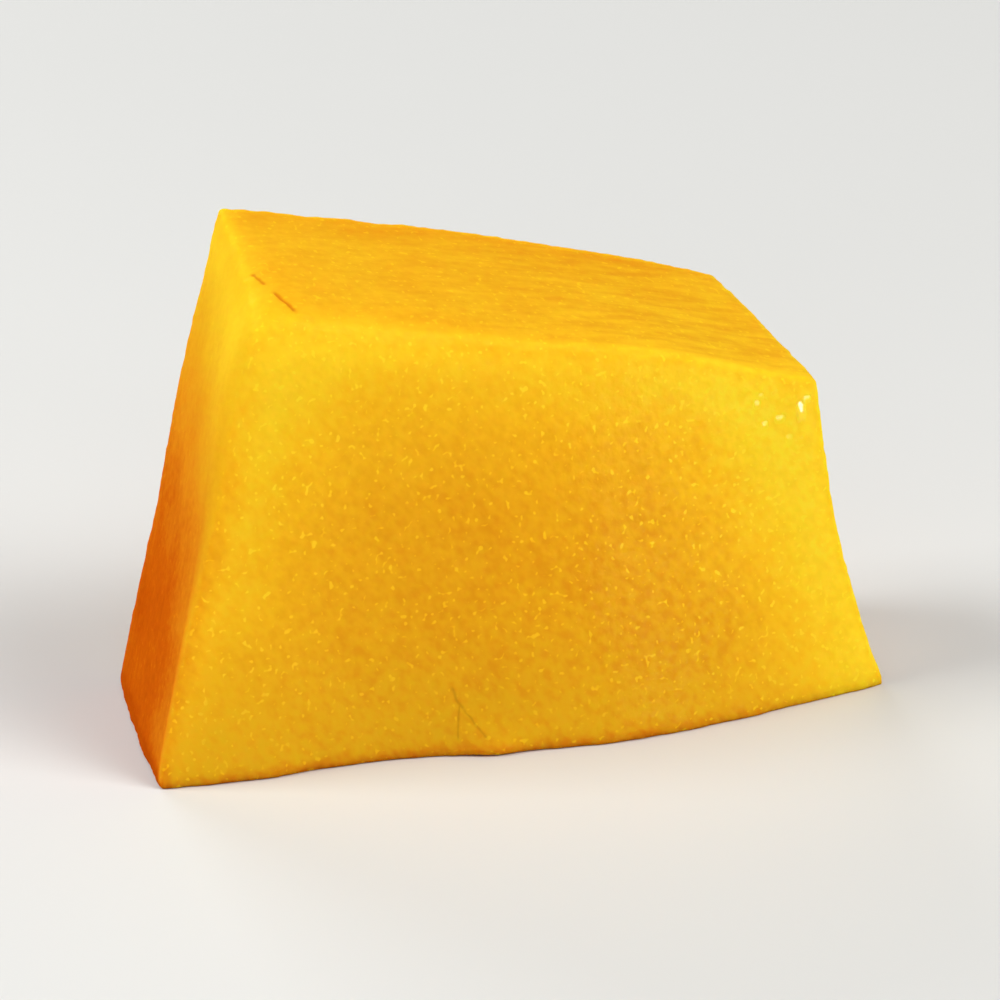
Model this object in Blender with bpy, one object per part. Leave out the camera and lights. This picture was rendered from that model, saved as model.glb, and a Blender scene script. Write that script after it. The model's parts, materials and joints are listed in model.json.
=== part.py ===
"""One chunk of ripe mango: a solid block of flesh about 39 mm long, tall at its left end, low at its right.

Metres, +Z up. +X runs along the front foot from the tall end to the low one, and -Y is the front, the outer
side of the fruit where the skin was peeled off. The origin is at the middle of the bounding box's base, so
the chunk stands on its flat foot at Z = 0.

The block is what knife strokes leave on a board. Each stroke is a plane that passes through a point and
looks along a heading, and the eight corners are where three planes meet. A grid with rounded edges is laid
over the block: the edges are crisp, but round and soft near the front's tall corner. The shape that ripe
flesh takes is then added: a bellied front, a dished low end, ripples left by the blade on the cut faces and
a soft unevenness all over.
"""

import math
from collections import namedtuple
from itertools import product

import bmesh
import bpy
from mathutils import Matrix, Vector, noise

MM = 0.001

# Driving dimensions, in millimetres, measured from the front's left foot.
FOOT_LENGTH = 38.6
LEFT_DEPTH = 13.7
LEFT_HEIGHT = 24.7

# How round the edges are: crisp where the blade left them, soft around the front's tall corner. The softness
# dies away between two shares of the block's length and of its depth, and grows between two of its height.
CRISP_RADIUS = 0.35
SOFT_RADIUS = 2.4
SOFT_ALONG = (0.05, 0.85)
SOFT_BACK = (0.1, 0.9)
SOFT_UP = (0.2, 0.95)

# A flat cut: a point that it passes through in millimetres, the heading that its face looks along and how far
# that face leans back from upright, both in degrees. Heading 0 is +X, 90 is +Y, and a lean of 90 looks up.
Cut = namedtuple("Cut", "through heading lean")
FRONT = Cut((0.0, 0.0, 0.0), -90.0, 5.0)
LEFT = Cut((-0.25, 0.0, 0.0), 169.0, 13.0)
RIGHT = Cut((FOOT_LENGTH, 0.0, 0.0), 3.5, 10.1)
BACK = Cut((2.4, LEFT_DEPTH, 0.0), 87.1, -2.2)
TOP = Cut((0.0, 0.0, LEFT_HEIGHT), -30.8, 74.6)
FOOT = Cut((0.0, 0.0, 0.0), 0.0, -90.0)

# The front's belly is a broad mound and a slight one. Each has its height at the foot and at the top in
# millimetres, and where it peaks and how far it spreads as shares of the block's length.
Mound = namedtuple("Mound", "foot top centre spread")
FRONT_MOUNDS = (Mound(2.7, 0.25, 0.62, 0.20), Mound(0.7, 0.1, 0.13, 0.08))

# How far the other faces swell or sink away from the flat cuts, in millimetres.
BACK_BELLY = 0.7
RIGHT_DISH = 0.5
RIGHT_DISH_SKEW = 0.75
TOP_CROWN = 0.4

# Blade ripples: low waves across the cut faces, with their height, the distance from crest to crest, the way
# that they follow one another, how far they waver and how long the waver is. A higher power keeps them nearer
# to the face's edges, and they begin behind the peeled front, between two places in the unit cube.
RIPPLE_HEIGHT = 0.05
RIPPLE_SPACING = 3.4
RIPPLE_WAY = Vector((0.12, 0.35, 1.0))
RIPPLE_WAVER = 2.2
RIPPLE_WAVER_SIZE = 8.5
RIPPLE_EDGE_POWER = 4
RIPPLE_START = (-1.0, -0.8)

# Soft unevenness of the whole block. It dies away toward the flat foot below the fade height.
UNEVEN_HEIGHT = 0.35
UNEVEN_SIZE = 9.0
FOOT_FADE = 3.0

# Where in the noise's space each use of it starts: the push along X, Y and Z, and the ripples' waver.
NOISE_STARTS = (Vector((4.1, 7.3, 2.6)), Vector((31.7, 5.9, 18.2)), Vector((12.4, 46.8, 9.5)))
WAVER_START = Vector((22.3, 14.6, 37.1))

# The grid that carries the shape: the side of a face in millimetres, and how near to a corner a slice snaps.
GRID_SPACING = 1.2
SLICE_SNAP = 1e-6

FLESH_COLOUR = (0.93, 0.42, 0.012, 1.0)
FLESH_ROUGHNESS = 0.38


def face_normal(cut):
    """The direction that a cut's face looks along."""
    heading = math.radians(cut.heading)
    lean = math.radians(cut.lean)
    return Vector((math.cos(lean) * math.cos(heading), math.cos(lean) * math.sin(heading), math.sin(lean)))


def corner(*cuts):
    """The point where three cuts meet."""
    normals = Matrix([face_normal(cut) for cut in cuts])
    reaches = Vector([face_normal(cut).dot(Vector(cut.through)) for cut in cuts])
    return normals.inverted() @ reaches


def block_corners():
    """The eight corners, keyed by their signs along the block's own left-right, front-back and foot-top."""
    sides = ({-1: LEFT, 1: RIGHT}, {-1: FRONT, 1: BACK}, {-1: FOOT, 1: TOP})
    return {
        signs: corner(*(side[sign] for side, sign in zip(sides, signs)))
        for signs in product((-1, 1), repeat=3)
    }


def half_sizes(corners):
    """Half the mean length of the block's edges along each of its three directions."""
    halves = []
    for axis in range(3):
        low = [point for signs, point in corners.items() if signs[axis] < 0]
        high = [point for signs, point in corners.items() if signs[axis] > 0]
        halves.append(sum((b - a).length for a, b in zip(low, high)) / len(low) / 2)
    return halves


def grid_stops(half):
    """Where the grid's lines cross one axis, from -1 to 1, with a line where each crisp edge begins."""
    inner = 1 - CRISP_RADIUS / half
    steps = round(2 * half * inner / GRID_SPACING)
    return [-1.0, *(-inner + 2 * inner * step / steps for step in range(steps + 1)), 1.0]


def ease(value, low, high):
    """0 below the low value, 1 above the high one, and a smooth rise between them."""
    share = min(1.0, max(0.0, (value - low) / (high - low)))
    return share * share * (3 - 2 * share)


def edge_radius(place):
    """How round the block's edges are at a place: soft at the front's tall corner and crisp away from it."""
    along, back, up = ((c + 1) / 2 for c in place)
    softness = (1 - ease(along, *SOFT_ALONG)) * (1 - ease(back, *SOFT_BACK)) * ease(up, *SOFT_UP)
    return CRISP_RADIUS + (SOFT_RADIUS - CRISP_RADIUS) * softness


def rounded(place, halves):
    """Moves a place on the faces of the unit cube so that its edges are round."""
    radius = edge_radius(place)
    inner = [max(-1 + radius / half, min(1 - radius / half, c)) for c, half in zip(place, halves)]
    outward = Vector([(c - i) * half for c, i, half in zip(place, inner, halves)]).normalized() * radius
    return [i + step / half for i, step, half in zip(inner, outward, halves)]


def warped(place, corners):
    """Carries a place in the unit cube into the block that the eight corners span."""
    point = Vector((0, 0, 0))
    for signs, at in corners.items():
        share = math.prod((1 + sign * c) / 2 for sign, c in zip(signs, place))
        point += share * at
    return point


def mound_height(mound, along, up):
    """The height of a mound at a share of the block's length and height."""
    offset = (along - mound.centre) / mound.spread
    return (mound.foot + (mound.top - mound.foot) * up) * math.exp(-0.5 * offset**2)


def belly(place):
    """How far the flesh swells or sinks at a place in the unit cube: a step in millimetres."""
    along, back, up = ((c + 1) / 2 for c in place)
    front = sum(mound_height(mound, along, up) for mound in FRONT_MOUNDS) * (1 - back)
    rear = BACK_BELLY * math.sin(math.pi * along) * (1 - up) * back
    dish = RIGHT_DISH * math.sin(math.pi * up**RIGHT_DISH_SKEW) * along
    crown = TOP_CROWN * math.sin(math.pi * along) * up
    return Vector((-dish, rear - front, crown))


def ripple(point):
    """The height of the blade's ripples at a point: long waves that run along the block and waver."""
    waver = RIPPLE_WAVER * noise.noise(point / RIPPLE_WAVER_SIZE + WAVER_START)
    phase = point.dot(RIPPLE_WAY) / RIPPLE_SPACING + waver
    return RIPPLE_HEIGHT * math.sin(2 * math.pi * phase)


def ripple_share(place):
    """1 in the middle of a cut face, fading to 0 at its edges, and 0 all over the peeled front."""
    nearest_edge = sorted(abs(c) for c in place)[1]
    return (1 - nearest_edge**RIPPLE_EDGE_POWER) * ease(place[1], *RIPPLE_START)


def unevenness(point):
    """A soft push in a direction that wanders from place to place."""
    return UNEVEN_HEIGHT * Vector([noise.noise(point / UNEVEN_SIZE + start) for start in NOISE_STARTS])


def sliced_cube(halves):
    """A cube from -1 to 1 that slicing planes turn into a grid, closer together where it is to be round."""
    bm = bmesh.new()
    bmesh.ops.create_cube(bm, size=2.0)
    for axis, half in enumerate(halves):
        across = Vector([float(axis == other) for other in range(3)])
        for stop in grid_stops(half)[1:-1]:
            geometry = bm.verts[:] + bm.edges[:] + bm.faces[:]
            place = stop * across
            bmesh.ops.bisect_plane(bm, geom=geometry, plane_co=place, plane_no=across, dist=SLICE_SNAP)
    return bm


def block_mesh(corners):
    """A closed grid over the block with rounded edges, in millimetres, and each vertex's place in it."""
    halves = half_sizes(corners)
    bm = sliced_cube(halves)
    places = [rounded(vert.co, halves) for vert in bm.verts]
    for vert, place in zip(bm.verts, places):
        vert.co = warped(place, corners) + belly(place)
    return bm, places


def soften(bm, places):
    """Adds the ripples and the unevenness, and leaves the foot flat on the board."""
    bm.normal_update()
    for vert, place in zip(bm.verts, places):
        step = unevenness(vert.co) + vert.normal * ripple(vert.co) * ripple_share(place)
        step.z *= min(1.0, vert.co.z / FOOT_FADE)
        vert.co += step
        vert.co.z = max(0.0, vert.co.z)


def stand_on_origin(bm):
    """Moves the middle of the block's bounding box's base to the origin, and turns the block into metres."""
    lowest, highest = (
        Vector([choose(vert.co[axis] for vert in bm.verts) for axis in range(3)]) for choose in (min, max)
    )
    middle = (lowest + highest) / 2
    middle.z = lowest.z
    bmesh.ops.translate(bm, vec=-middle, verts=bm.verts)
    bmesh.ops.scale(bm, vec=Vector((MM, MM, MM)), verts=bm.verts)


def flesh_material():
    """Wet golden flesh: not metallic, with a satin surface."""
    material = bpy.data.materials.new("mango_flesh")
    material.use_nodes = True
    shader = material.node_tree.nodes["Principled BSDF"]
    shader.inputs["Base Color"].default_value = FLESH_COLOUR
    shader.inputs["Roughness"].default_value = FLESH_ROUGHNESS
    shader.inputs["Metallic"].default_value = 0.0
    return material


def clear_scene():
    for obj in list(bpy.data.objects):
        bpy.data.objects.remove(obj)


def make_chunk():
    bm, places = block_mesh(block_corners())
    soften(bm, places)
    stand_on_origin(bm)
    mesh = bpy.data.meshes.new("mango_chunk")
    bm.to_mesh(mesh)
    bm.free()
    mesh.shade_smooth()
    mesh.materials.append(flesh_material())
    chunk = bpy.data.objects.new("mango_chunk", mesh)
    bpy.context.scene.collection.objects.link(chunk)
    return chunk


clear_scene()
make_chunk()
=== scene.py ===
# %% [markdown]
# A chunk of ripe mango
#
# This lesson dresses one block of fresh mango flesh. The block comes as a plain solid with the right size
# and form, in metres, standing on its foot. Here it gets what the eye knows a mango by: the fine pebbling
# of the peeled side, the faint lines that a knife leaves, ragged edges, drops of juice, and light that
# sinks in and comes out again golden. The solid's own box is kept from the start.

import json
import math
from collections import namedtuple

import bmesh
import bpy
import numpy as np
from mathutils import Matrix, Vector
from mathutils.kdtree import KDTree

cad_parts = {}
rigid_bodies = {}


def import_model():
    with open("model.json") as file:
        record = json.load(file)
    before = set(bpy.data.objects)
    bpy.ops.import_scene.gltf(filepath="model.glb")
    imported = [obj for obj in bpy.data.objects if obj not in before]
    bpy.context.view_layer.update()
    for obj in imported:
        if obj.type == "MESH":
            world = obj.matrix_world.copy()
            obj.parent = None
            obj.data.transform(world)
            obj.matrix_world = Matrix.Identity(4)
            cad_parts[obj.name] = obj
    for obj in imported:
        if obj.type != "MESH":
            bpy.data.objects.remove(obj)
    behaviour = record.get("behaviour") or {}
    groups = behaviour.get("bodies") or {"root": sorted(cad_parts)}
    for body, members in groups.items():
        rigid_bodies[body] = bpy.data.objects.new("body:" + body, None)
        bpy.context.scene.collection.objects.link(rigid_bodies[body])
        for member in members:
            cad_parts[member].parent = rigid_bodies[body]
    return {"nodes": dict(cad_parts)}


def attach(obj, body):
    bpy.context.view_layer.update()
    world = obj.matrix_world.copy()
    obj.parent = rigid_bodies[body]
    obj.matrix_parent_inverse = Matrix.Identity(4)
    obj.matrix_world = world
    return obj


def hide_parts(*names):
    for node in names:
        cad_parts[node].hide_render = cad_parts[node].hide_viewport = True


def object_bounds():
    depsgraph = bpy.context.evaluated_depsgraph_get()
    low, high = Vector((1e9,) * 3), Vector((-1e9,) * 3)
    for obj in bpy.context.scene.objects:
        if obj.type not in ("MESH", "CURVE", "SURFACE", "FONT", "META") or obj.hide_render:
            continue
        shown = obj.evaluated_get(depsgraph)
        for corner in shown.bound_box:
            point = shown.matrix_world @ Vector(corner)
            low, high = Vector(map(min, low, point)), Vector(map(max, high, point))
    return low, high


for left_over in list(bpy.data.objects):
    bpy.data.objects.remove(left_over)

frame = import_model()
cad_low, cad_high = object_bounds()
MM = 0.001
print("the solid measures", [round(side / MM, 1) for side in cad_high - cad_low], "mm")

# %% [markdown]
# The camera
#
# The photograph looks at the chunk from its tall end's side and a little from above, through a long lens,
# so the far edges hardly shrink. A camera half a metre away with a long lens gives that. It could be
# turned by three angles, but it is easier to say where it stands and what point it looks at.

# %% The camera
CAMERA_AZIMUTH = -20.5
CAMERA_ELEVATION = 22.0
CAMERA_DISTANCE = 0.5
CAMERA_NEAREST = 0.01
SENSOR_WIDTH = 36.0
VIEW_WIDTH = 49.4 * MM
AIM = Vector((-0.00167, -0.00671, 0.01326))


def direction(azimuth, elevation):
    """The direction from the chunk towards a place round it. Azimuth 0 is in front of the peeled side."""
    a = math.radians(azimuth)
    e = math.radians(elevation)
    return Vector((math.sin(a) * math.cos(e), -math.cos(a) * math.cos(e), math.sin(e)))


def aim_at(obj, target):
    """Turns a camera or a light so that it looks at a point."""
    obj.rotation_euler = (target - obj.location).to_track_quat("-Z", "Y").to_euler()


camera_data = bpy.data.cameras.new("camera")
camera_data.sensor_width = SENSOR_WIDTH
camera_data.lens = SENSOR_WIDTH * CAMERA_DISTANCE / VIEW_WIDTH
camera_data.clip_start = CAMERA_NEAREST
camera = bpy.data.objects.new("camera", camera_data)
bpy.context.scene.collection.objects.link(camera)
camera.location = AIM + CAMERA_DISTANCE * direction(CAMERA_AZIMUTH, CAMERA_ELEVATION)
aim_at(camera, AIM)
bpy.context.scene.camera = camera
print("lens", round(camera_data.lens), "mm")

# %% [markdown]
# The studio
#
# The main light is soft and comes from above and from the front right, as from a window. Broad fills on
# the other three sides keep the shaded faces a clear orange, and a weak one from above lifts the cut top.
# Large lights near the chunk give its shadow soft edges. One small lamp low at the front right is there
# for the drops of juice, each of which shows it as a point of white.

# %% The lamps
Lamp = namedtuple("Lamp", "name azimuth elevation distance size power")
# Angles in degrees, the distance from the chunk and the lamp's width in metres, and the power in watts.
LAMPS = (
    Lamp("key_light", 46.0, 48.0, 0.6, 0.30, 2.24),
    Lamp("top_light", 10.0, 80.0, 0.6, 0.45, 0.43),
    Lamp("front_fill", -25.0, 25.0, 0.8, 0.50, 0.87),
    Lamp("side_fill", -105.0, 44.0, 0.6, 0.30, 2.40),
    Lamp("back_fill", -175.0, 15.0, 0.8, 0.40, 2.60),
    Lamp("glint_lamp", 29.0, 3.0, 0.6, 0.065, 0.64),
)
for lamp in LAMPS:
    lamp_data = bpy.data.lights.new(lamp.name, "AREA")
    lamp_data.shape = "SQUARE"
    lamp_data.size = lamp.size
    lamp_data.energy = lamp.power
    lamp_object = bpy.data.objects.new(lamp.name, lamp_data)
    bpy.context.scene.collection.objects.link(lamp_object)
    lamp_object.location = AIM + lamp.distance * direction(lamp.azimuth, lamp.elevation)
    aim_at(lamp_object, AIM)
print(len(LAMPS), "lamps of", round(sum(lamp.power for lamp in LAMPS), 2), "watts in all")

# %% [markdown]
# The room's own light
#
# A faint white world lights what the lamps leave dark, as pale walls would. The Standard view shows
# colours as they are picked. The default view would turn these bright yellows greyer.

# %% The world and the view
WORLD_STRENGTH = 0.06
world = bpy.data.worlds.new("studio")
bpy.context.scene.world = world
world.use_nodes = True
background = world.node_tree.nodes["Background"]
background.inputs["Color"].default_value = (1.0, 1.0, 1.0, 1.0)
background.inputs["Strength"].default_value = WORLD_STRENGTH
bpy.context.scene.view_settings.view_transform = "Standard"
print("world strength", WORLD_STRENGTH)

# %% [markdown]
# Colours and nodes
#
# Colours are picked as they look on a screen, in sRGB hex, but light adds up in linear values, so one
# function turns the one into the other by the sRGB standard's own formula. Another adds a node, sets it
# and links it. Both materials below are made with it.

# %% Helpers for materials
def linear(hex_colour):
    """An sRGB hex colour such as "#F5B41D" as a linear RGBA colour."""
    channels = [int(hex_colour[i : i + 2], 16) / 255 for i in (1, 3, 5)]
    return tuple(c / 12.92 if c <= 0.04045 else ((c + 0.055) / 1.055) ** 2.4 for c in channels) + (1.0,)


def add_node(tree, kind, settings=None, values=None, links=None):
    """Adds a node, sets its properties and its inputs, and links other nodes' outputs to its inputs."""
    node = tree.nodes.new(kind)
    for name, value in (settings or {}).items():
        setattr(node, name, value)
    for name, value in (values or {}).items():
        node.inputs[name].default_value = value
    for name, source in (links or {}).items():
        tree.links.new(source, node.inputs[name])
    return node


def new_material(name):
    """An empty material with its Principled shader, and the tree that they are in."""
    material = bpy.data.materials.new(name)
    material.use_nodes = True
    return material, material.node_tree, material.node_tree.nodes["Principled BSDF"]


print("the deepest orange in linear values", [round(c, 3) for c in linear("#AA4003")])

# %% [markdown]
# The floor
#
# The chunk stands on a sheet of pale matt board, pressed from paper pulp. Pulp is never one even grey, so
# two close tones are mixed by soft noise with patches 75 mm wide. That keeps the floor plain without
# making it dead.

# %% Pale matt board
FLOOR_SIZE = 3.0
BOARD_PATCH = 75.0 * MM
BOARD_ROUGHNESS = 0.7
board_material, board_tree, board_shader = new_material("pale_matt_board")
# With no place linked to it, the noise counts the floor's whole width as 1.
patch_values = {"Scale": FLOOR_SIZE / BOARD_PATCH, "Detail": 3.0}
patches = add_node(board_tree, "ShaderNodeTexNoise", values=patch_values)
tones = {"A": linear("#D9D9D6"), "B": linear("#DEDEDB")}
board_tone = add_node(
    board_tree, "ShaderNodeMix", {"data_type": "RGBA"}, tones, {"Factor": patches.outputs["Fac"]}
)
board_tree.links.new(board_tone.outputs["Result"], board_shader.inputs["Base Color"])
board_shader.inputs["Roughness"].default_value = BOARD_ROUGHNESS
bpy.ops.mesh.primitive_plane_add(size=FLOOR_SIZE)
floor = bpy.context.object
floor.name = "floor"
floor.location.z = cad_low.z
floor.data.materials.append(board_material)
print("the floor is", FLOOR_SIZE, "m wide, at height", round(floor.location.z, 6))

# %% [markdown]
# The block's own surface
#
# On the real chunk nothing is quite flat: the blade drags, fibres tear and the peeled side is pebbled. A
# bump in the material would show some of that, but not at the outline, where raggedness is seen best. So
# the solid's mesh is copied, turned back into quads and divided until a face is about 0.15 mm wide, and
# its points are moved.

# %% A fine copy of the block
DIVISIONS = 3
SAME_PLACE = 0.001 * MM
# Two triangles become a quad if they lie flatter and squarer than these angles in radians.
QUAD_FLATNESS = 0.6
QUAD_SQUARENESS = 0.8


def quads_of(solid):
    """A mesh with a solid's points, each of them once, and with its triangles joined into quads."""
    bm = bmesh.new()
    bm.from_mesh(solid.data)
    bmesh.ops.remove_doubles(bm, verts=bm.verts, dist=SAME_PLACE)
    bmesh.ops.join_triangles(
        bm, faces=bm.faces, angle_face_threshold=QUAD_FLATNESS, angle_shape_threshold=QUAD_SQUARENESS
    )
    quads = bpy.data.meshes.new("quads")
    bm.to_mesh(quads)
    bm.free()
    return quads


def fine_copy(solid, piece_name):
    """A new object with the mesh of a solid, in quads and smoothly divided."""
    quads = quads_of(solid)
    piece = bpy.data.objects.new(piece_name, quads)
    bpy.context.scene.collection.objects.link(piece)
    divide = piece.modifiers.new("divide", "SUBSURF")
    divide.levels = DIVISIONS
    divide.render_levels = DIVISIONS
    depsgraph = bpy.context.evaluated_depsgraph_get()
    fine = bpy.data.meshes.new_from_object(piece.evaluated_get(depsgraph))
    piece.modifiers.clear()
    piece.data = fine
    bpy.data.meshes.remove(quads)
    fine.shade_smooth()
    return piece


flesh = fine_copy(frame["nodes"]["mango_chunk"], "mango_flesh")
mesh = flesh.data
print("the fine copy has", len(mesh.polygons), "faces")

# %% [markdown]
# Marks and drops
#
# A few things on this chunk are finer than the grid: a short slit that the tip of the knife left in the
# top, a forked thread of fibre low on the peeled side, and small flat drops of juice near the low end's
# upper corner. They could be painted, but a slit that is a real groove and a drop that really bulges
# catch the light from every side. So the grid is divided again near each of them, and only there.

# %% Where the marks and drops lie
Mark = namedtuple("Mark", "kind line width height")
# All in millimetres in the part's frame. A negative height is a groove.
MARKS = (
    Mark("slit", ((-11.84, 1.14, 23.73), (-11.60, -0.20, 23.69)), 0.11, -0.03),
    Mark("slit", ((-11.45, -1.05, 23.58), (-11.20, -1.85, 23.36), (-10.84, -2.56, 23.00)), 0.14, -0.06),
    Mark("fibre", ((-4.23, -6.68, 3.57), (-3.98, -6.76, 2.90), (-3.68, -6.90, 2.44)), 0.09, 0.02),
    Mark("fibre", ((-3.68, -6.90, 2.44), (-3.20, -7.10, 1.70), (-2.60, -7.30, 0.92)), 0.07, 0.02),
    Mark("fibre", ((-3.85, -6.83, 2.70), (-3.98, -6.92, 1.70), (-4.04, -7.01, 0.89)), 0.06, 0.01),
)
Drop = namedtuple("Drop", "centre half_width half_height bulge shine")
# In millimetres too, but for the shine, which is the drop's share of a full coat of gloss.
DROPS = (
    Drop((15.21, -4.57, 14.90), 0.29, 0.60, 0.071, 1.0),
    Drop((15.54, -4.49, 15.45), 0.26, 0.24, 0.020, 0.40),
    Drop((14.03, -4.69, 14.65), 0.34, 0.26, 0.020, 0.18),
    Drop((12.81, -4.66, 15.58), 0.22, 0.26, 0.019, 0.18),
    Drop((13.18, -4.78, 14.48), 0.22, 0.26, 0.019, 0.20),
    Drop((14.49, -4.80, 13.60), 0.22, 0.24, 0.016, 0.12),
    Drop((13.05, -4.64, 15.97), 0.18, 0.20, 0.014, 0.08),
)
print(len(MARKS), "marks and", len(DROPS), "drops")

# %% A finer grid near them
# How near to a mark or drop a face is to be divided, in millimetres, the first time and the second.
REFINE_REACHES = (0.9, 0.7)


def line_distance(places, line):
    """How far each place is from a line through points in millimetres, and how far along it from 0 to 1."""
    nearest = np.full(len(places), np.inf)
    along = np.zeros(len(places))
    for number, (start, end) in enumerate(zip(line, line[1:])):
        start, end = np.array(start), np.array(end)
        way = end - start
        share = np.clip((places - start) @ way / (way @ way), 0.0, 1.0)
        distance = np.linalg.norm(places - start - share[:, None] * way, axis=1)
        along = np.where(distance < nearest, (number + share) / (len(line) - 1), along)
        nearest = np.minimum(nearest, distance)
    return nearest, along


def refine(mesh):
    """Divides the faces near the marks and drops in two each way, once for each reach."""
    bm = bmesh.new()
    bm.from_mesh(mesh)
    for reach in REFINE_REACHES:
        bm.faces.ensure_lookup_table()
        centres = np.array([face.calc_center_median() for face in bm.faces]) / MM
        close = np.zeros(len(centres), dtype=bool)
        for mark in MARKS:
            close |= line_distance(centres, mark.line)[0] < reach
        for drop in DROPS:
            close |= np.linalg.norm(centres - drop.centre, axis=1) < reach
        edges = {edge for index in np.flatnonzero(close) for edge in bm.faces[index].edges}
        bmesh.ops.subdivide_edges(bm, edges=list(edges), cuts=1, use_grid_fill=True)
    bm.to_mesh(mesh)
    bm.free()


refine(mesh)
print("divided again near the marks and drops, it has", len(mesh.polygons), "faces")

# %% [markdown]
# Which face is which
#
# The peeled front, the cut top and the cut ends are finished differently, so each point has to know which
# of them it is on. Its own normal says that: it is on the side whose direction it faces most. Where two
# neighbours differ there is an edge of the block, and the distance to a side's own edges gives the depth
# of its rim.

# %% The side that each point is on
# The heading of each side in the ground plane, with 0 along +X and 90 along +Y, and how far it leans back.
SIDE_ANGLES = {
    "front": (-90.0, 5.0),
    "left": (169.0, 13.0),
    "right": (3.5, 10.1),
    "back": (87.1, -2.2),
    "top": (-30.8, 74.6),
    "foot": (0.0, -90.0),
}
SIDES = tuple(SIDE_ANGLES)


def side_direction(side):
    """The direction that a side of the block faces."""
    heading, lean = (math.radians(angle) for angle in SIDE_ANGLES[side])
    return Vector((math.cos(lean) * math.cos(heading), math.cos(lean) * math.sin(heading), math.sin(lean)))


def read_vectors(items, field):
    """A field of every item of a mesh as rows of three numbers."""
    values = np.empty(len(items) * 3)
    items.foreach_get(field, values)
    return values.reshape(-1, 3)


points = read_vectors(mesh.vertices, "co") / MM
normals = read_vectors(mesh.vertices, "normal")
faces_most = np.argmax(normals @ np.array([side_direction(side) for side in SIDES]).T, axis=1)
print("points on each side", {side: int((faces_most == i).sum()) for i, side in enumerate(SIDES)})

# %% How far each point is from the edges
edge_ends = np.empty(len(mesh.edges) * 2, dtype=np.int64)
mesh.edges.foreach_get("vertices", edge_ends)
edge_ends = edge_ends.reshape(-1, 2)
crossing = edge_ends[faces_most[edge_ends[:, 0]] != faces_most[edge_ends[:, 1]]]


def distance_to(border):
    """The distance in millimetres from every point to the nearest of the points whose numbers are given."""
    tree = KDTree(len(border))
    for index in border:
        tree.insert(points[index], int(index))
    tree.balance()
    return np.array([tree.find(point)[2] for point in points])


side_distance = {}
for number, side in enumerate(SIDES):
    side_distance[side] = distance_to(np.unique(crossing[(faces_most[crossing] == number).any(axis=1)]))
edge_distance = np.min([side_distance[side] for side in SIDES], axis=0)
print("the point furthest from any edge is", edge_distance.max().round(1), "mm from it")

# %% [markdown]
# Soft steps, humps and rims
#
# Everything below that changes over the block is put together from four simple shapes: a step at a side's
# edges, a rise between two values, a hump round one, and a rim that falls off away from a side. They are
# plain arithmetic on whole arrays, so all points are worked out at once.

# %% Shapes of change
def on_side(side, fade=0.5):
    """1 on a side of the block and 0 off it, with a soft step at its edges. The fade is in millimetres."""
    inside = faces_most == SIDES.index(side)
    signed = np.where(inside, side_distance[side], -side_distance[side])
    return np.clip(signed / fade + 0.5, 0.0, 1.0)


def rise(value, start, end):
    """0 up to the start, 1 from the end on, and an even rise between them."""
    return np.clip((value - start) / (end - start), 0.0, 1.0)


def hump(value, centre, spread):
    """1 at the centre, falling to nearly 0 at twice the spread from it."""
    return np.exp(-(((value - centre) / spread) ** 2))


def near(side, reach, power=1.3):
    """1 at a side's edges, falling to 0 away from them. The reach is in millimetres."""
    return np.exp(-((side_distance[side] / reach) ** power))


print("points on the front, edges shared out", round(float(on_side("front").sum())))

# %% [markdown]
# Noise
#
# Grain, streaks and torn fibres are all noise of some size and direction. Blender has noise for single
# points, but there are more than a hundred thousand here, so it is written for arrays: random slopes on a
# lattice, smoothly blended between, which is called gradient noise. The large odd numbers only shuffle a
# lattice point's place into its slopes. Stretching the points along a direction turns grain into streaks.

# %% Noise for many points at once
# By itself the noise goes from about -0.7 to 0.7, and this carries it to about -1 to 1.
NOISE_SCALE = 1.4


def noise(places, size, seed):
    """Smooth noise of about -1 to 1 at many places. The size is how far apart bumps are, in millimetres."""
    scaled = places / size
    cell = np.floor(scaled).astype(np.int64)
    inside = scaled - cell
    blend = inside**3 * (inside * (inside * 6 - 15) + 10)
    total = np.zeros(len(places))
    for corner in np.ndindex(2, 2, 2):
        lattice = cell + corner
        mixed = lattice[:, 0] * 73856093 ^ lattice[:, 1] * 19349663 ^ lattice[:, 2] * 83492791
        mixed = mixed ^ seed * 6542989
        mixed = (mixed ^ (mixed >> 13)) * 1274126177
        slopes = np.stack([((mixed >> shift) & 1023) / 511.5 - 1.0 for shift in (3, 13, 23)], axis=1)
        weight = np.prod(np.where(corner, blend, 1 - blend), axis=1)
        total += weight * np.sum(slopes * (inside - corner), axis=1)
    return NOISE_SCALE * total


def stretched(places, along, factor):
    """The places with distances along a direction made smaller, so that noise there turns into streaks."""
    axis = np.array(Vector(along).normalized())
    return places - np.outer(places @ axis, axis) * (1 - 1 / factor)


trial = noise(points, 0.8, 1)
print("noise ranges over", trial.min().round(2), trial.max().round(2))

# %% [markdown]
# The relief of each face
#
# Relief is added as a height in millimetres along each point's normal. The peeled front is pebbled, with
# grains about 0.4 mm wide that lie in faint slanting rows where the peeler passed. The cut faces are
# smoother and have long shallow lines along the stroke of the knife. The whole block is softly uneven, as
# ripe flesh is.

# %% Pebbles and knife lines
PEELER_ROWS = (0.62, 0.0, -0.78)
PEELER_STRETCH = 2.2
KNIFE_STROKE = (0.95, 0.10, -0.28)
KNIFE_STRETCH = 8.0
PEBBLE_HEIGHT = 0.021
KNIFE_HEIGHT = 0.016
SOFT_HEIGHT = 0.03
SOFT_SIZE = 2.6
# The tall end was cut so cleanly that it has only a share of the others' knife lines.
CLEAN_CUT = 0.3
front = on_side("front")
cut = on_side("top") + on_side("right") + on_side("back") + CLEAN_CUT * on_side("left")
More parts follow.
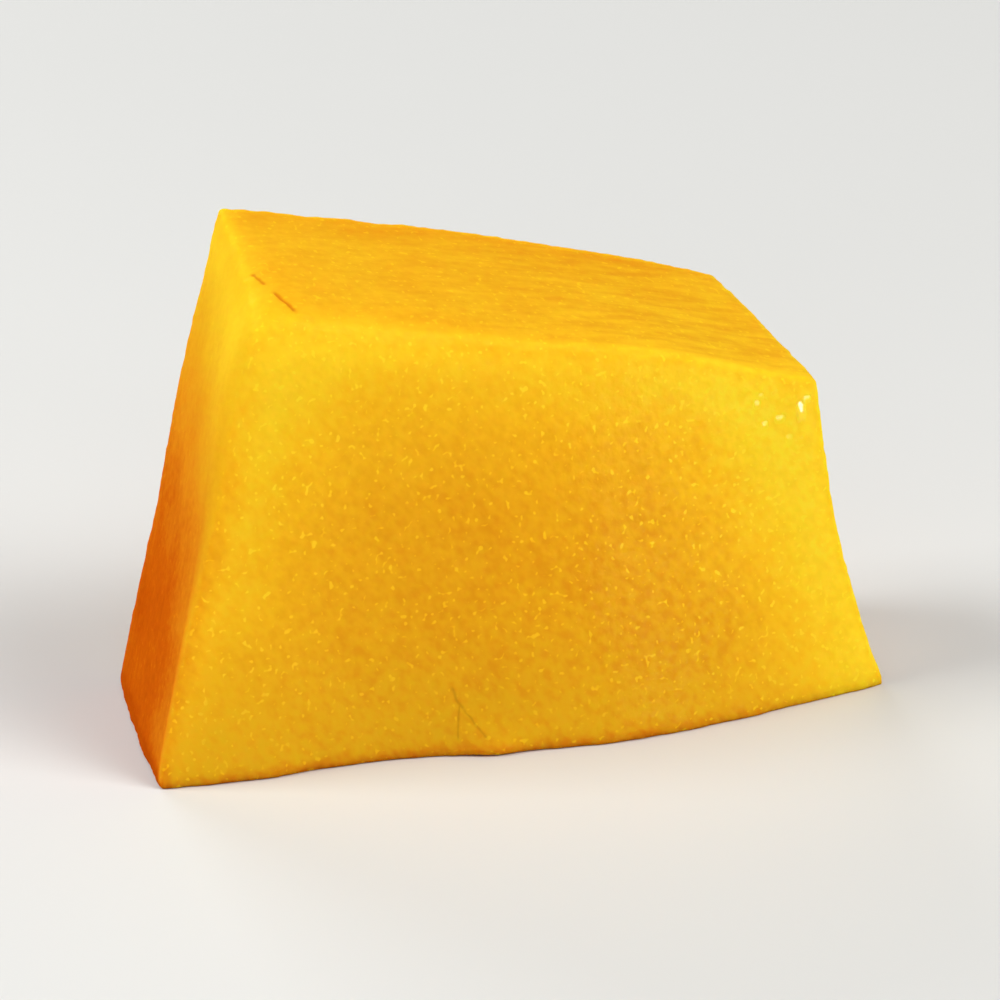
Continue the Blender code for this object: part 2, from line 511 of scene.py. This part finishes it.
# The numbers in each noise are its size in millimetres and its seed, and the one before it is its share.
peeler = stretched(points, PEELER_ROWS, PEELER_STRETCH)
stroke = stretched(points, KNIFE_STROKE, KNIFE_STRETCH)
pebbles = noise(points, 0.42, 11) + 0.7 * noise(peeler, 0.34, 12) + 0.5 * noise(points, 1.1, 13)
knife_lines = noise(stroke, 0.35, 21) + 0.8 * noise(stroke, 0.8, 22)
softness = noise(points, SOFT_SIZE, 31)
height = PEBBLE_HEIGHT * front * pebbles + KNIFE_HEIGHT * cut * knife_lines + SOFT_HEIGHT * softness
print("grain from", height.min().round(3), "to", height.max().round(3), "mm")

# %% [markdown]
# Edges and foot
#
# A knife tears soft flesh a little where it leaves it, so all edges are ragged. The foot took the chunk's
# weight on the board. It is the most uneven round its edge, and a small lip of flesh is pressed out of it
# under the front.

# %% Ragged edges and the lip
RAGGED_HEIGHT = 0.045
RAGGED_REACH = 0.35
FOOT_REACH = 1.3
FOOT_UNEVEN = 0.12
FOOT_UNEVEN_SIZE = 2.4
LIP_PLACE = -2.5
LIP_SPREAD = 1.9
LIP_HEIGHT = 0.6
height_up = points[:, 2]
ragged = noise(points, 0.45, 41) + noise(points, 1.2, 42)
height += RAGGED_HEIGHT * hump(edge_distance, 0.0, RAGGED_REACH) * ragged
low_share = hump(height_up, 0.0, FOOT_REACH)
height += FOOT_UNEVEN * low_share * noise(points, FOOT_UNEVEN_SIZE, 43)
height += LIP_HEIGHT * hump(points[:, 0], LIP_PLACE, LIP_SPREAD) * low_share * front
print("with the edges from", height.min().round(3), "to", height.max().round(3), "mm")

# %% [markdown]
# The slit and the fibre
#
# Each mark is a line that wavers a little, since neither a blade's tip nor a fibre runs straight. Its
# width changes along it and it thins out at both ends. The slit sinks in and the fibre stands up.

# %% The marks' relief
WAVER_HEIGHT = 0.04
WAVER_SIZE = 0.5
# The mean width and how much it changes, as shares of the widths above, and the size of those changes.
MEAN_WIDTH = 0.8
WIDTH_CHANGE = 0.5
WIDTH_CHANGE_SIZE = 0.3
# How steeply a mark comes up from its ends, where it starts a little above nothing.
END_STEEPNESS = 3.0
END_START = 0.04
mark_share = {"slit": np.zeros(len(points)), "fibre": np.zeros(len(points))}
wavering = points + WAVER_HEIGHT * noise(points, WAVER_SIZE, 51)[:, None]
for mark in MARKS:
    distance, along = line_distance(wavering, mark.line)
    width = mark.width * (MEAN_WIDTH + WIDTH_CHANGE * noise(points, WIDTH_CHANGE_SIZE, 52))
    from_start = END_START + (1 - 2 * END_START) * along
    thinning = np.clip(END_STEEPNESS * np.sin(np.pi * from_start), 0.0, 1.0)
    share = hump(distance, 0.0, width) * thinning
    mark_share[mark.kind] = np.maximum(mark_share[mark.kind], share)
    height += mark.height * share
print("points in the marks", {kind: int((share > 0.5).sum()) for kind, share in mark_share.items()})

# %% [markdown]
# Drops of juice
#
# A drop on an upright face hangs: it is flat at its top and bulges low down. It also fills the grain that
# it covers, so the pebbles are taken away under it. Where juice lies, the gloss is strong.

# %% The drops' relief
# How far behind or before its centre a drop can reach, in millimetres, and how sharp its border is.
DROP_REACH = 0.6
DROP_SHARPNESS = 4.0
drop_share = np.zeros(len(points))
shine = np.zeros(len(points))
for drop in DROPS:
    across = (points[:, 0] - drop.centre[0]) / drop.half_width
    tall = (points[:, 2] - drop.centre[2]) / drop.half_height
    on_front = np.abs(points[:, 1] - drop.centre[1]) < DROP_REACH
    covered = np.clip(DROP_SHARPNESS * (1 - across**4 - tall**2), 0.0, 1.0) * on_front
    hanging = np.clip(1 - across**4, 0.0, 1.0) * np.clip(1 - tall**2, 0.0, 1.0) * (1 - tall) * on_front
    height += drop.bulge * hanging - PEBBLE_HEIGHT * front * pebbles * covered
    drop_share = np.maximum(drop_share, covered)
    shine = np.maximum(shine, drop.shine * covered)
print("points under drops", int((drop_share > 0.5).sum()))

# %% [markdown]
# Moving the points
#
# The heights now move the points. The foot has to stay flat, so near it points move less and less up or
# down, and the lowest third of a millimetre is drawn down to the floor. That closes the gap which rounded
# edges would leave.

# %% The dressed mesh
LEVEL_HEIGHT = 0.6
FOOT_EDGE = 0.35
FOOT_POWER = 1.5
level = rise(height_up, 0.0, LEVEL_HEIGHT)
freedom = np.stack([np.ones_like(level), np.ones_like(level), level], axis=1)
moved = points + height[:, None] * normals * freedom
moved[:, 2] *= rise(moved[:, 2], 0.0, FOOT_EDGE) ** FOOT_POWER
mesh.vertices.foreach_set("co", (moved * MM).ravel())
mesh.update()
print("relief from", height.min().round(3), "to", height.max().round(3), "mm")

# %% [markdown]
# How deep the colour is
#
# Ripe mango flesh is golden yellow and holds a lot of water and sugar. Light goes a few millimetres into
# it and comes out again, red furthest and blue hardly at all. So shaded sides glow orange, and thin rims
# that catch light from both sides look pale. One number for each point says how deep the colour is: 0 is
# pale yellow and 1 is the deepest orange. Nearly all its changes over the block are painted light and
# shade: deep orange is painted shade, and pale yellow on the rims is painted light. The front is deep in
# its middle, painted shade, and pale along its rims, painted light, the right one most of all. Two pale
# rims would add up where they meet at the upper left corner, so some painted shade is given back there.
# The thin lower right corner is painted paler still. The low right part of the belly faces the main
# light, and a little more depth, painted shade, keeps it from looking bleached.

# %% The peeled front's depth of colour: painted light and shade
# The middle's depth is painted shade.
FRONT_MIDDLE = 0.507
FRONT_PALEST = 0.06
# Painted light: how much paler each rim is. The left one gets paler still on the way up, to 0.4 of the
# height.
LEFT_RIM = 0.18
LEFT_RIM_MORE_UP = 0.17
TOP_RIM = 0.35
RIGHT_RIM = 0.39
# Painted shade at the upper left corner and on the belly, painted light at the lower right corner.
UPPER_LEFT_DEEPER = 0.19
LOWER_RIGHT_PALER = 0.06
BELLY_DEEPER = 0.075
along_x = (points[:, 0] - cad_low.x / MM) / ((cad_high.x - cad_low.x) / MM)
up_z = height_up / (cad_high.z / MM)
left_rim = LEFT_RIM + LEFT_RIM_MORE_UP * rise(up_z, 0.0, 0.4)
corners = UPPER_LEFT_DEEPER * near("left", 4.0) * near("top", 4.0)
corners -= LOWER_RIGHT_PALER * near("right", 6.0) * near("foot", 6.0)
front_depth = FRONT_MIDDLE - left_rim * near("left", 4.5) - TOP_RIM * near("top", 4.5) + corners
front_depth = np.maximum(front_depth - RIGHT_RIM * near("right", 5.8, power=1.8), FRONT_PALEST)
along_belly = BELLY_DEEPER * hump(along_x, centre=0.74, spread=0.14)
front_depth += along_belly * hump(height_up, centre=4.0, spread=2.5)
print("front from", front_depth.min().round(2), "to", front_depth.max().round(2))

# %% [markdown]
# The cut faces
#
# The top is evenly golden, with painted light making it a little paler at its left and front rims and
# towards the low end, and painted shade making it a little deeper along its back edge. The tall left end
# runs from golden at the top to deep orange at the foot, painted shade that deepens downwards, with
# painted light along its rims at the front and top. The hidden right end and back are finished like the
# others: knife-cut flesh, golden on the right and an orange of painted shade at the back. The foot is a
# deep orange all over.

# %% The cut top's depth of colour
TOP_MIDDLE = 0.52
# Painted light on the rims and towards the low end, painted shade along the back edge.
TOP_RIMS_PALER = 0.05
TOP_BACK_DEEPER = 0.08
TOP_LOW_END_PALER = 0.04
top_depth = TOP_MIDDLE - TOP_RIMS_PALER * near("left", 6.0) - TOP_RIMS_PALER * near("front", 2.0)
top_depth += TOP_BACK_DEEPER * near("back", 4.0)
top_depth -= TOP_LOW_END_PALER * rise(along_x, 0.55, 0.85)
print("top from", top_depth.min().round(2), "to", top_depth.max().round(2))

# %% The tall left end's depth of colour
# Painted shade deepening towards the foot, and painted light along the rims at the front and top.
LEFT_AT_FOOT = 0.97
LEFT_PALER_UP = 0.58
LEFT_CURVE = 2.2
# The rim at the front is paler by the first share at the foot, and by the second more at the top.
LEFT_FRONT_RIM = 0.08
LEFT_FRONT_RIM_MORE_UP = 0.15
LEFT_TOP_RIM = 0.15
# The painted shade is a little deeper in a band at mid height and a little weaker low down.
LEFT_BAND_DEEPER = 0.03
LEFT_LOW_PALER = 0.035
front_rim = LEFT_FRONT_RIM + LEFT_FRONT_RIM_MORE_UP * up_z
left_depth = LEFT_AT_FOOT - LEFT_PALER_UP * up_z**LEFT_CURVE - front_rim * near("front", 4.0)
left_depth -= LEFT_TOP_RIM * near("top", 4.0)
low_part = 1 - rise(up_z, 0.0, 0.35)
left_depth += LEFT_BAND_DEEPER * hump(up_z, centre=0.45, spread=0.15) - LEFT_LOW_PALER * low_part
print("left end from", left_depth.min().round(2), "to", left_depth.max().round(2))

# %% The hidden faces' depth of colour
# Painted shade: the back's orange, deepest at the foot, and the right end's deeper part near the back.
RIGHT_MIDDLE = 0.50
RIGHT_BACK_DEEPER = 0.10
BACK_AT_FOOT = 0.76
BACK_PALER_UP = 0.20
FOOT_DEPTH = 0.85
right_depth = RIGHT_MIDDLE + RIGHT_BACK_DEEPER * near("back", 5.0)
back_depth = BACK_AT_FOOT - BACK_PALER_UP * up_z
foot_depth = np.full(len(points), FOOT_DEPTH)
print("back from", back_depth.min().round(2), "to", back_depth.max().round(2))

# %% [markdown]
# From face to face
#
# Flesh has no line where one face ends and the next begins, so the values blend over each edge: widely
# round the soft upper left corner, over a millimetre at the crisp edges, and tightly at the foot. The
# shares of the faces are divided by their sum, because a sum below 1 would draw a pale line along the
# edge. The crisp upper rim is a touch paler, painted light, the foot's edge darker, painted shade, and
# the flesh under a drop paler too.

# %% One depth for the whole block
# How wide each blend is in millimetres, and how much wider the soft corner makes it.
WIDE_FADE = 1.4
CORNER_FADE = 2.2
CRISP_FADE = 1.0
FOOT_FADE = 0.4
# The paler upper rim is painted light, and the deeper foot edge is painted shade.
UPPER_RIM_REACH = 0.3
UPPER_RIM_PALER = 0.2
FOOT_EDGE_DEEPER = 0.30
SOFTNESS_DEEPER = 0.03
DROP_PALER = 0.10
soft_corner = (1 - rise(along_x, 0.0, 0.6)) * rise(up_z, 0.2, 0.7)
wide_fade = WIDE_FADE + CORNER_FADE * soft_corner
depth = np.zeros(len(points))
share_sum = np.zeros(len(points))
for side, fade, side_depth in (
    ("front", wide_fade, front_depth),
    ("top", wide_fade, top_depth),
    ("left", wide_fade, left_depth),
    ("right", CRISP_FADE, right_depth),
    ("back", CRISP_FADE, back_depth),
    ("foot", FOOT_FADE, foot_depth),
):
    share = on_side(side, fade)
    depth += share * side_depth
    share_sum += share
upper_rim = hump(np.minimum(side_distance["top"], side_distance["right"]), 0.0, UPPER_RIM_REACH)
depth = depth / share_sum * (1 - UPPER_RIM_PALER * upper_rim)
depth += FOOT_EDGE_DEEPER * near("foot", 0.5) + SOFTNESS_DEEPER * softness - DROP_PALER * drop_share
print("depth of colour from", depth.min().round(2), "to", depth.max().round(2))

# %% [markdown]
# What else changes over the block
#
# Low on the peeled side a darker olive tint is painted shade, strongest low down. A thin film of juice
# covers all but the tall end, and the drops are wetter. Grain shows most on the peeled front, above all
# towards its low end, and streaks show on the cut faces. The mesh carries each of these as a number at
# every point, for the material to read.

# %% Painted shade low on the front, and juice
JUICE_FILM = 0.03
# Right at the foot's edge the flesh is painted a deeper orange shade, and this share of the olive painted
# shade is taken away there.
FOOT_EDGE_LESS_OLIVE = 0.7
painted_low_shade = on_side("front", fade=1.0) * near("foot", 6.0, power=1.5)
painted_low_shade *= (1 - near("right", 6.0)) * (1 - FOOT_EDGE_LESS_OLIVE * near("foot", 0.5))
wet = np.maximum(JUICE_FILM * (1 - on_side("left", fade=0.3)), shine)
uncovered = 1 - drop_share
print("less ripe up to", painted_low_shade.max().round(2), "and wet up to", wet.max().round(2))

# %% Grain and streaks
# How strong the grain is on the front, and what its low end, the part under the olive painted shade
# and its low left rim add.
FRONT_GRAIN = 0.9
LOW_END_GRAIN = 0.4
LOW_SHADE_GRAIN = 0.6
LOW_LEFT_GRAIN = 0.5
# How strong the grain and the streaks are on the other faces. The top has fewer streaks at its tall end.
FACE_GRAIN = {"top": 0.45, "right": 0.6, "back": 0.6, "left": 0.12}
FACE_STREAKS = {"right": 0.6, "back": 0.6, "left": 0.3}
FEWEST_TOP_STREAKS = 0.35
low_left = LOW_LEFT_GRAIN * near("left", 3.0) * (1 - up_z)
front_grain = FRONT_GRAIN + LOW_END_GRAIN * rise(along_x, 0.45, 0.75) + LOW_SHADE_GRAIN * painted_low_shade
pebbly = front * (front_grain + low_left) * uncovered
pebbly += sum(share * on_side(side) for side, share in FACE_GRAIN.items())
more_streaks = (1 - FEWEST_TOP_STREAKS) * rise(along_x, 0.35, 0.75)
streaky = on_side("top") * (FEWEST_TOP_STREAKS + more_streaks)
streaky += sum(share * on_side(side) for side, share in FACE_STREAKS.items())
print("grain up to", pebbly.max().round(2), "and streaks up to", streaky.max().round(2))

# %% The values that the mesh carries
SLIT_TINT = 0.8
FIBRE_TINT = 0.45
point_values = {
    "depth": depth,
    "painted_low_shade": painted_low_shade,
    "wet": wet,
    "pebbly": pebbly,
    "streaky": streaky,
    "slit": SLIT_TINT * mark_share["slit"],
    "fibre": FIBRE_TINT * mark_share["fibre"],
    "uncovered": uncovered,
}
for name, values in point_values.items():
    mesh.attributes.new(name, "FLOAT", "POINT").data.foreach_set("value", values.astype(np.float32))
print("the mesh carries", ", ".join(point_values))

# %% [markdown]
# Ripe mango flesh, peeled, cut and wet
#
# The flesh is soft tissue of cells 0.1 to 0.2 mm wide, full of juice. A peeler and a knife cut through
# them, which gives the eye a fine grain, short streaks and tiny glints where an open cell holds juice.
# The glints are painted into the colour as pale dots. Single cells are too fine to show, so they are
# drawn coarser. The grain is 0.42 mm wide, a few cells, and drawn out a little along the peeler's rows.
# The painted glints are 0.25 mm and the bump 0.28 mm wide. The knife's streaks are 0.45 mm wide and a
# few millimetres long, and the ripeness changes softly over 4 mm.

# %% What the material reads from the mesh
flesh_material, flesh_tree, shader = new_material("ripe_mango_flesh_wet")
place = add_node(flesh_tree, "ShaderNodeTexCoord").outputs["Object"]
carried = {}
for name in point_values:
    carried[name] = add_node(flesh_tree, "ShaderNodeAttribute", {"attribute_name": name}).outputs["Fac"]
print("the material reads", len(carried), "values from the mesh")

# %% Noise in several sizes
# Turns in degrees about X, Y and Z lay a pattern along the rows or strokes, and it is drawn out along them.
places = {"all": place}
for name, turns, drawn_out in (("rows", (0.0, 51.5, 0.0), 1.45), ("strokes", (0.0, 16.4, 6.0), 6.0)):
    rotation = tuple(math.radians(turn) for turn in turns)
    values = {"Rotation": rotation, "Scale": (drawn_out, 1.0, 1.0)}
    settings = {"vector_type": "TEXTURE"}
    turned = add_node(flesh_tree, "ShaderNodeMapping", settings, values, {"Vector": place})
    places[name] = turned.outputs["Vector"]
patterns = {}
for name, size, detail, where in (
    ("mottle", 4.0 * MM, 3.0, "all"),
    ("grain", 0.42 * MM, 1.0, "rows"),
    ("streaks", 0.45 * MM, 3.0, "strokes"),
    ("painted_glints", 0.25 * MM, 0.0, "all"),
    ("bumps", 0.28 * MM, 2.0, "all"),
):
    values = {"Scale": 1 / size, "Detail": detail}
    texture = add_node(flesh_tree, "ShaderNodeTexNoise", values=values, links={"Vector": places[where]})
    patterns[name] = texture.outputs["Fac"]
print("patterns", ", ".join(patterns))

# %% [markdown]
# Patterns in the depth of colour
#
# Each pattern makes the colour a little deeper or paler. Noise lies mostly between 0.3 and 0.7, so that
# range is carried over to a change in depth, multiplied by the share that the mesh carries and added to
# the depth. Only the rare peaks of the glints' noise count, and each makes a pale dot, a painted glint.
# The mottle works everywhere.

# %% The patterns change the depth of colour
MOST_NOISE = {"From Min": 0.3, "From Max": 0.7}
mottle_values = {**MOST_NOISE, "To Min": 0.03, "To Max": -0.03}
links = {"Value": patterns["mottle"]}
mottle = add_node(flesh_tree, "ShaderNodeMapRange", values=mottle_values, links=links)
links = {0: carried["depth"], 1: mottle.outputs["Result"]}
mottled = add_node(flesh_tree, "ShaderNodeMath", {"operation": "ADD"}, links=links)
total_depth = mottled.outputs["Value"]
for pattern, limits, at_low, at_high, share in (
    ("grain", MOST_NOISE, 0.058, -0.058, "pebbly"),
    # Each pale dot is a painted glint.
    ("painted_glints", {"From Min": 0.69, "From Max": 0.80}, 0.0, -0.30, "pebbly"),
    ("streaks", MOST_NOISE, 0.08, -0.08, "streaky"),
):
    values = {**limits, "To Min": at_low, "To Max": at_high}
    change = add_node(flesh_tree, "ShaderNodeMapRange", values=values, links={"Value": patterns[pattern]})
    links = {0: change.outputs["Result"], 1: carried[share], 2: total_depth}
    changed = add_node(flesh_tree, "ShaderNodeMath", {"operation": "MULTIPLY_ADD"}, links=links)
    total_depth = changed.outputs["Value"]
print("the depth of colour passes through", len(flesh_tree.nodes), "nodes")

# %% [markdown]
# From depth to colour
#
# A ramp turns the depth into a colour, from the yellow of thin lit flesh to the orange of thick shaded
# flesh, so the light and shade painted into the depth come out as pale yellow and deep orange. Three
# tints go over it: a greener olive yellow low on the peeled side, which is painted shade, broken up by
# the grain, a dark orange in the slit, partly painted shade in the groove and partly its juice, and
# brown along the fibre.

# %% The ramp
FLESH_RAMP = (
    (0.0, "#FFD62E"),
    (0.08, "#FFCF28"),
    (0.16, "#F9CA24"),
    (0.30, "#F5BD1E"),
    (0.57, "#E29A16"),
    (0.78, "#D67610"),
    (0.92, "#BC4E05"),
    (1.0, "#AA4003"),
)
ramp = add_node(flesh_tree, "ShaderNodeValToRGB", links={"Fac": total_depth})
for position, _ in FLESH_RAMP[1:-1]:
    ramp.color_ramp.elements.new(position)
for element, (position, hex_colour) in zip(ramp.color_ramp.elements, FLESH_RAMP):
    element.position = position
    element.color = linear(hex_colour)
print("the ramp has", len(ramp.color_ramp.elements), "colours")

# %% The tints
# The olive yellow is painted shade low on the peeled side.
LOW_SHADE_OLIVE = "#DFB01C"
# The slit's orange is partly painted shade in the groove and partly the colour of juice.
SLIT_ORANGE = "#D2700C"
FIBRE_BROWN = "#A8700E"
broken_values = {**MOST_NOISE, "To Min": 0.50, "To Max": 0.95}
links = {"Value": patterns["grain"]}
broken_up = add_node(flesh_tree, "ShaderNodeMapRange", values=broken_values, links=links)
links = {0: carried["painted_low_shade"], 1: broken_up.outputs["Result"]}
low_shade_share = add_node(flesh_tree, "ShaderNodeMath", {"operation": "MULTIPLY"}, links=links)
colour = ramp.outputs["Color"]
for share, tint in (
    (low_shade_share.outputs["Value"], LOW_SHADE_OLIVE),
    (carried["slit"], SLIT_ORANGE),
    (carried["fibre"], FIBRE_BROWN),
):
    links = {"Factor": share, "A": colour}
    tinted = add_node(flesh_tree, "ShaderNodeMix", {"data_type": "RGBA"}, {"B": linear(tint)}, links)
    colour = tinted.outputs["Result"]
flesh_tree.links.new(colour, shader.inputs["Base Color"])
print("the tints are", LOW_SHADE_OLIVE, SLIT_ORANGE, FIBRE_BROWN)

# %% [markdown]
# Light in the flesh and juice on it
#
# Subsurface scattering lets light wander about a millimetre through the flesh, red furthest and blue
# least, which softens the edges and warms the shaded sides. Wet flesh has an IOR of about 1.38, a little
# above water's, but it gets no gloss of its own. All shine comes from the clear coat, which stands for
# the juice and has water's IOR, 1.33. The coat is a thin film nearly everywhere and full in the largest
# drop. A bump 0.05 mm high stands for relief too fine for the mesh, and it is left out where a drop
# covers the grain.

# %% The flesh's depth and wetness
for socket, value in (
    ("Roughness", 0.5),
    ("IOR", 1.38),
    ("Specular IOR Level", 0.0),
    ("Subsurface Weight", 1.0),
    ("Subsurface Radius", (1.0, 0.45, 0.12)),
    ("Subsurface Scale", 1.2 * MM),
    ("Coat Roughness", 0.12),
    ("Coat IOR", 1.33),
):
    shader.inputs[socket].default_value = value
flesh_tree.links.new(carried["wet"], shader.inputs["Coat Weight"])
links = {0: patterns["bumps"], 1: carried["uncovered"]}
bump_height = add_node(flesh_tree, "ShaderNodeMath", {"operation": "MULTIPLY"}, links=links)
bump_values = {"Strength": 0.7, "Distance": 0.05 * MM}
links = {"Height": bump_height.outputs["Value"]}
bump = add_node(flesh_tree, "ShaderNodeBump", values=bump_values, links=links)
for socket in ("Normal", "Coat Normal"):
    flesh_tree.links.new(bump.outputs["Normal"], shader.inputs[socket])
mesh.materials.clear()
mesh.materials.append(flesh_material)
print("the flesh's material has", len(flesh_tree.nodes), "nodes")

# %% [markdown]
# The piece takes the solid's place
#
# The dressed block is now shown in place of the plain solid. It rides on root, the part's only body,
# because a chunk of fruit has no joint, and it shows the part's one material slot.

# %% The piece takes the solid's place
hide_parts("mango_chunk")
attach(flesh, "root")
print(flesh.name, "stands for the solid")
